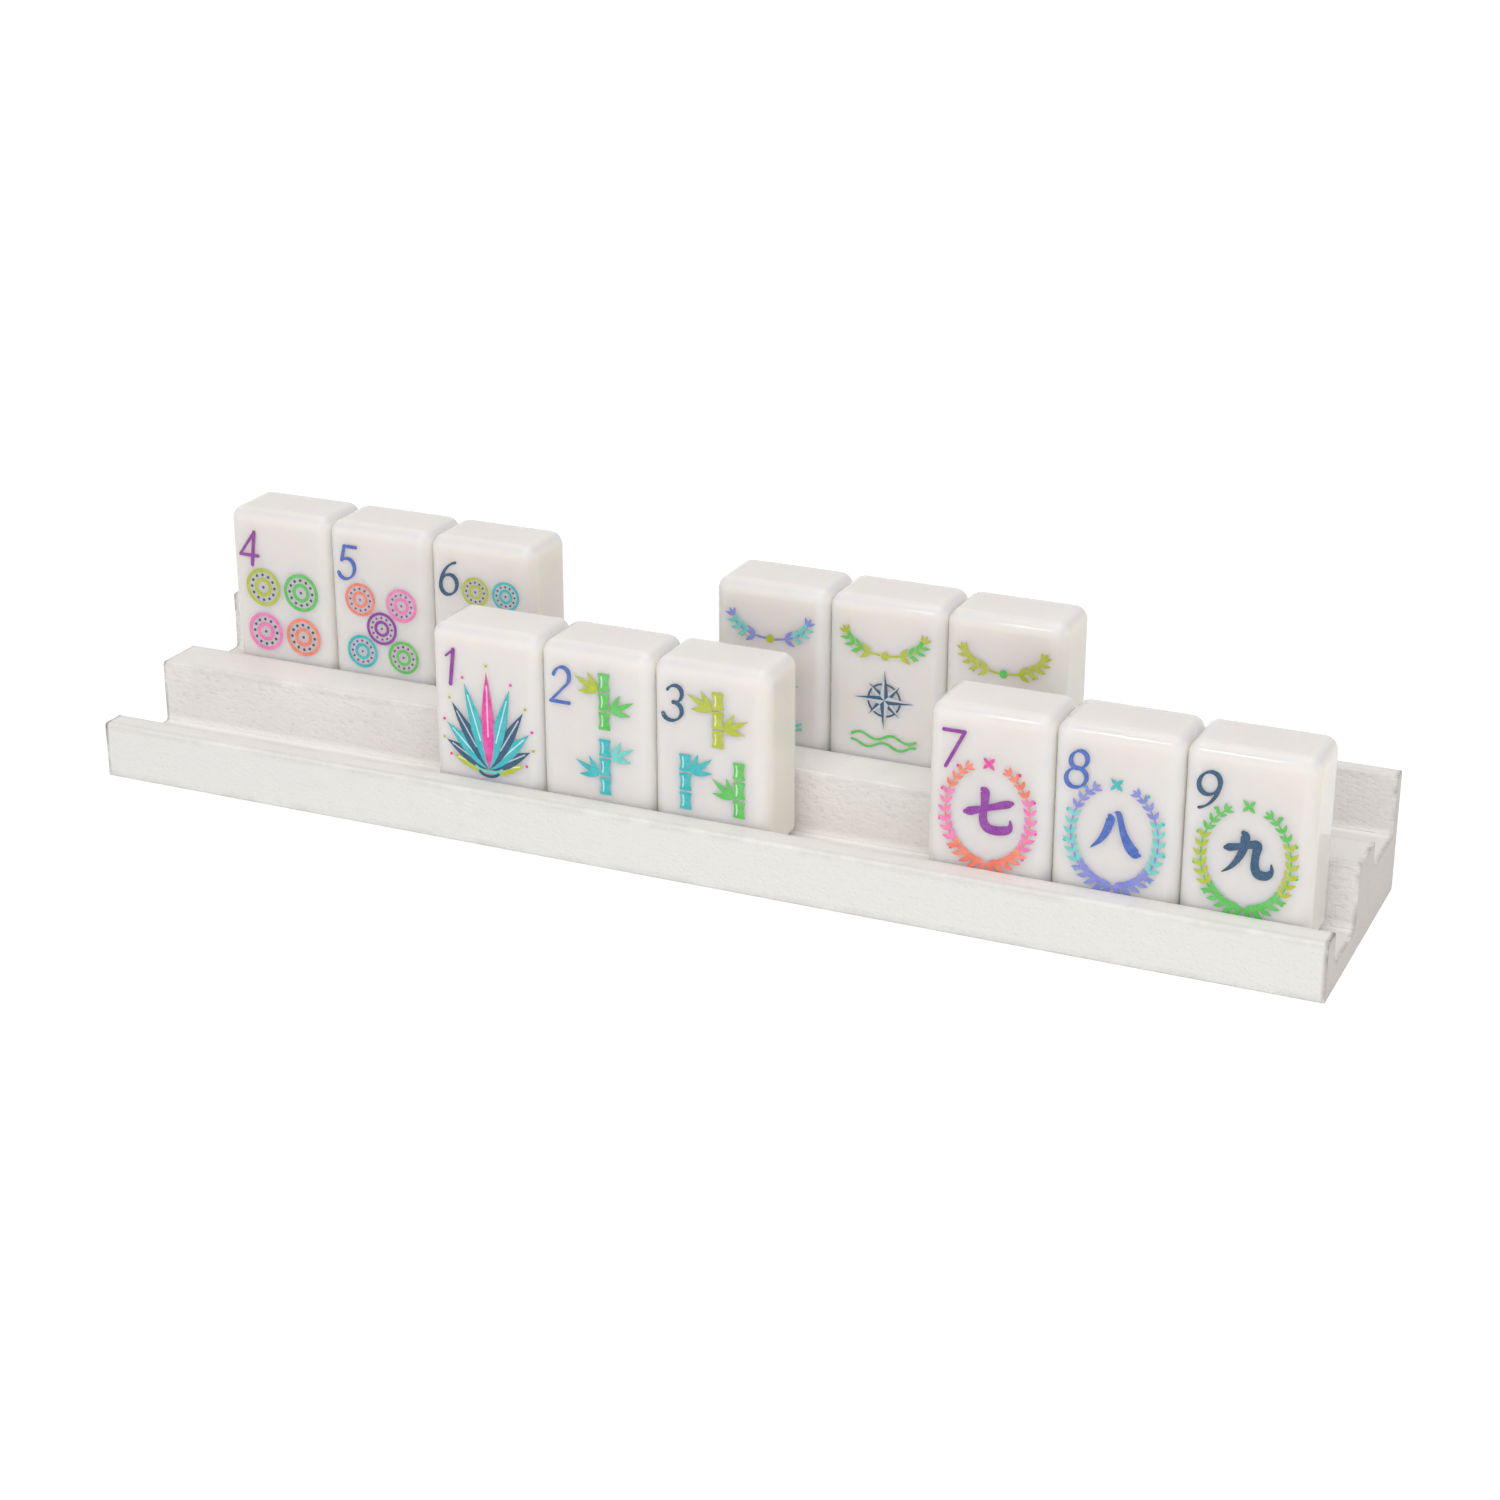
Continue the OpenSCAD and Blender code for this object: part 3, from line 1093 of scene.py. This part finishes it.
class TILERACK_OT_print_winds(bpy.types.Operator):
    """Prints the wind tiles: a compass star under a leafy swag and over two waves"""

    bl_idname = "tilerack.print_winds"
    bl_label = "Print Winds"

    SWAG = {"hang": (0.0, 32.8), "wide": 8.4, "tall": 4.6}
    STAR = {"centre": (0.0, 18.6), "reach": 6.6}
    WAVES = (10.4, 8.6)

    def execute(self, context):
        inks = settings("print_inks")
        material = ink_material()
        leaf = stamp_object("swag_stamp", [leaf_points((0, 0), math.pi / 2, 1.0, 0.36)])
        schemes = {
            "wind_1": (inks.lavender, inks.aqua, inks.lime, inks.aqua),
            "wind_2": (inks.lime, inks.green, inks.lime, inks.green),
            "wind_3": (inks.lime, inks.lime, inks.green, inks.green),
        }
        for node, (outer, inner, berry, wave) in schemes.items():
            face = FacePrint(node)
            half = arc(self.SWAG["hang"], self.SWAG["wide"], self.SWAG["tall"], 278, 352, 5)
            marks = []
            for side in (1, -1):
                path = [Vector((side * u, v)) for u, v in half]
                marks += leafy_branch(face, path, 2.9, outer, inner, berry)
            face.disc((0.0, self.SWAG["hang"][1] - self.SWAG["tall"]), 0.9, berry, 1)
            self.star(face, self.STAR["centre"], self.STAR["reach"], inks.slate)
            self.waves(face, wave)
            face.build(material)
            stamped_piece(node + "_swag", node, leaf, marks, material)
        bpy.data.objects.remove(leaf)
        return {"FINISHED"}

    def waves(self, face, ink):
        for row, v in enumerate(self.WAVES):
            face.curve([(u, v + 0.6 * math.sin(0.9 * u + 1.6 * row)) for u in range(-7, 8)], 0.55, ink)

    @staticmethod
    def star(face, centre, reach, ink):
        """A ringed compass star: four long points and four short ones, each with a dark and a pale side."""
        waist = 0.19 * reach
        face.ring(centre, 0.56 * reach, 0.5 * reach, ink)
        for layer, start, part in ((1, 45, 0.74), (2, 0, 1.0)):
            for quarter in range(4):
                a = math.radians(start + 90 * quarter)
                tip = Vector(centre) + Vector((math.cos(a), math.sin(a))) * reach * part
                for turn, tone in ((-math.pi / 4, ink), (math.pi / 4, pale(ink))):
                    side = Vector(centre) + Vector((math.cos(a + turn), math.sin(a + turn))) * waist
                    face.fill([centre, side, tip], tone, layer)


class TILERACK_OT_print_numbers(bpy.types.Operator):
    """Prints the number tiles: a brushed numeral inside a laurel wreath"""

    bl_idname = "tilerack.print_numbers"
    bl_label = "Print Numbers"

    # Each stroke's points are (across, up, pressure) in a box one unit wide and tall
    STROKES = {
        7: [
            [(0.0, 0.4, 0.55), (0.1, 0.43, 1.0), (0.45, 0.56, 0.72), (0.86, 0.72, 0.95), (0.98, 0.77, 0.5)],
            [
                (0.36, 1.0, 0.6), (0.41, 0.93, 1.05), (0.4, 0.6, 0.85), (0.38, 0.3, 0.95), (0.46, 0.1, 1.1),
                (0.66, 0.05, 1.1), (0.88, 0.1, 1.0), (0.96, 0.2, 0.6), (0.95, 0.34, 0.2),
            ],
        ],
        8: [
            [(0.36, 0.88, 0.5), (0.38, 0.79, 0.95), (0.3, 0.5, 0.85), (0.18, 0.26, 0.6), (0.0, 0.06, 0.15)],
            [
                (0.47, 0.98, 0.2), (0.54, 0.95, 0.65), (0.6, 0.72, 0.7), (0.68, 0.44, 0.9), (0.8, 0.2, 1.2),
                (0.92, 0.07, 1.15), (1.0, 0.05, 0.4),
            ],
        ],
        9: [
            [
                (0.4, 1.0, 0.6), (0.44, 0.92, 1.0), (0.41, 0.62, 0.9), (0.3, 0.34, 0.7), (0.16, 0.14, 0.45),
                (0.02, 0.02, 0.15),
            ],
            [
                (0.06, 0.6, 0.5), (0.14, 0.62, 0.9), (0.42, 0.7, 0.7), (0.62, 0.77, 1.0), (0.69, 0.73, 1.05),
                (0.66, 0.5, 0.85), (0.66, 0.24, 0.95), (0.74, 0.09, 1.1), (0.9, 0.09, 1.0),
                (0.99, 0.2, 0.55), (0.98, 0.36, 0.2),
            ],
        ],
    }
    NUMERAL = {"wide": 9.6, "tall": 8.6, "foot": 15.0, "brush": 1.75}
    WREATH = {"centre": (0.3, 18.4), "wide": 8.3, "tall": 10.4}

    def execute(self, context):
        inks = settings("print_inks")
        material = ink_material()
        leaf = stamp_object("laurel_stamp", [leaf_points((0, 0), math.pi / 2, 1.0, 0.4)])
        schemes = {
            "number_7": (inks.purple, inks.coral, inks.pink, inks.magenta),
            "number_8": (inks.blue, inks.lavender, inks.aqua, inks.teal),
            "number_9": (inks.slate, inks.green, inks.lime, inks.green),
        }
        for node, (main, first, second, blossom) in schemes.items():
            face = FacePrint(node)
            digit = int(node[-1])
            print_index(face, digit, main)
            self.numeral(face, digit, main)
            marks = []
            half = arc(self.WREATH["centre"], self.WREATH["wide"], self.WREATH["tall"], -101, 60, 15)
            for side in (1, -1):
                path = [Vector((side * u, v)) for u, v in half]
                marks += leafy_branch(face, path, 2.7, first, second, blossom)
            for angle in (45, 135, 225, 315):
                face.leaf((0.0, 29.0), angle, 1.7, 0.8, blossom)
            face.build(material)
            stamped_piece(node + "_wreath", node, leaf, marks, material)
        bpy.data.objects.remove(leaf)
        return {"FINISHED"}

    def numeral(self, face, digit, ink):
        size = self.NUMERAL
        for stroke in self.STROKES[digit]:
            points = [((x - 0.47) * size["wide"], size["foot"] + y * size["tall"], w) for x, y, w in stroke]
            face.curve(points, size["brush"], ink, 2)


# Stage


class TILERACK_OT_stage(bpy.types.Operator):
    """Sets up the floor, the lamps, the sky and the camera"""

    bl_idname = "tilerack.stage"
    bl_label = "Build Stage"

    # Each lamp's place, the length of its sides, whether it lights the object, whether a gloss mirrors it
    LAMPS = {
        "key": ((-0.22, -1.03, 0.59), 0.26, True, False),
        "fill": ((0.42, -1.00, 0.62), 1.25, True, False),
        "top": ((0.15, -0.10, 1.30), 1.20, True, True),
        "glint": ((-0.20, -0.81, 0.90), 0.26, False, True),
    }
    LAMP_AIM = Vector((0, 0, 0.02))
    SENSOR_WIDTH = 36.0
    CLIP_RANGE = (0.01, 50.0)

    def execute(self, context):
        studio = settings("studio_setup")
        scene = context.scene
        scene.view_settings.view_transform = "Standard"
        half = studio.floor_size / 2
        mesh = bpy.data.meshes.new("floor")
        corners = [(-half, -half, 0), (half, -half, 0), (half, half, 0), (-half, half, 0)]
        mesh.from_pydata(corners, [], [(0, 1, 2, 3)])
        mesh.materials.append(floor_material(studio))
        linked_object("floor", mesh)
        for name, (place, side, lights, mirrored) in self.LAMPS.items():
            obj = self.lamp(name, place, side, getattr(studio, name + "_power"))
            obj.visible_diffuse = lights
            obj.visible_glossy = mirrored
        self.sky(scene, studio)
        self.camera(scene, studio)
        return {"FINISHED"}

    def lamp(self, name, place, side, power):
        """A square lamp that faces the rack."""
        lamp = bpy.data.lights.new(name, "AREA")
        lamp.shape = "SQUARE"
        lamp.size = side
        lamp.energy = power
        obj = linked_object(name, lamp)
        obj.location = place
        obj.rotation_euler = (self.LAMP_AIM - Vector(place)).to_track_quat("-Z", "Y").to_euler()
        return obj

    @staticmethod
    def sky(scene, studio):
        """Light from all round, weaker at the right, that shows as white to the camera."""
        world = bpy.data.worlds.new("studio")
        world.use_nodes = True
        scene.world = world
        tree = world.node_tree
        tree.nodes.clear()
        toward = tree.nodes.new("ShaderNodeTexCoord").outputs["Generated"]
        sideways = add_node(tree, "ShaderNodeSeparateXYZ", values={"Vector": toward}).outputs["X"]
        strength = ranged(tree, sideways, -1.0, 1.0, studio.sky_left, studio.sky_right)
        light = add_node(tree, "ShaderNodeBackground", values={"Color": WHITE, "Strength": strength})
        shown = add_node(tree, "ShaderNodeBackground", values={"Color": WHITE, "Strength": 1.0})
        both = add_node(
            tree, "ShaderNodeMixShader",
            values={0: watched_rays(tree), 1: light.outputs[0], 2: shown.outputs[0]},
        )
        result = tree.nodes.new("ShaderNodeOutputWorld")
        tree.links.new(both.outputs[0], result.inputs["Surface"])

    def camera(self, scene, studio):
        data = bpy.data.cameras.new("photo_view")
        data.sensor_width = self.SENSOR_WIDTH
        data.lens = studio.lens
        data.clip_start, data.clip_end = self.CLIP_RANGE
        camera = linked_object("photo_view", data)
        camera.location = studio.camera_place
        camera.rotation_euler = (math.pi / 2 - studio.camera_tilt, 0.0, studio.camera_turn)
        scene.camera = camera


class TILERACK_PT_panel(bpy.types.Panel):
    """Lists the finishes and the steps of the build"""

    bl_idname = "TILERACK_PT_panel"
    bl_label = "Tile Rack"
    bl_space_type = "VIEW_3D"
    bl_region_type = "UI"
    bl_category = "Tile Rack"

    def draw(self, context):
        for name, group in FINISHES.items():
            box = self.layout.box()
            box.label(text=group.__doc__)
            for prop in group.__annotations__:
                box.prop(getattr(context.scene, name), prop)
        for step in STEPS:
            self.layout.operator(step.bl_idname)


FINISHES = {
    "rack_finish": RackFinish,
    "tile_finish": TileFinish,
    "print_inks": PrintInks,
    "studio_setup": StudioSetup,
}
STEPS = (
    TILERACK_OT_rack,
    TILERACK_OT_tiles,
    TILERACK_OT_print_bamboo,
    TILERACK_OT_print_dots,
    TILERACK_OT_print_winds,
    TILERACK_OT_print_numbers,
    TILERACK_OT_stage,
)
CLASSES = (*FINISHES.values(), *STEPS, TILERACK_PT_panel)


def register():
    for cls in CLASSES:
        bpy.utils.register_class(cls)
    for name, group in FINISHES.items():
        setattr(bpy.types.Scene, name, PointerProperty(type=group))


def unregister():
    for name in FINISHES:
        delattr(bpy.types.Scene, name)
    for cls in reversed(CLASSES):
        bpy.utils.unregister_class(cls)


def main():
    register()
    bpy.ops.tilerack.rack()
    bpy.ops.tilerack.tiles()
    bpy.ops.tilerack.print_bamboo()
    bpy.ops.tilerack.print_dots()
    bpy.ops.tilerack.print_winds()
    bpy.ops.tilerack.print_numbers()
    bpy.ops.tilerack.stage()
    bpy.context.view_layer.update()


if __name__ == "__main__":
    main()
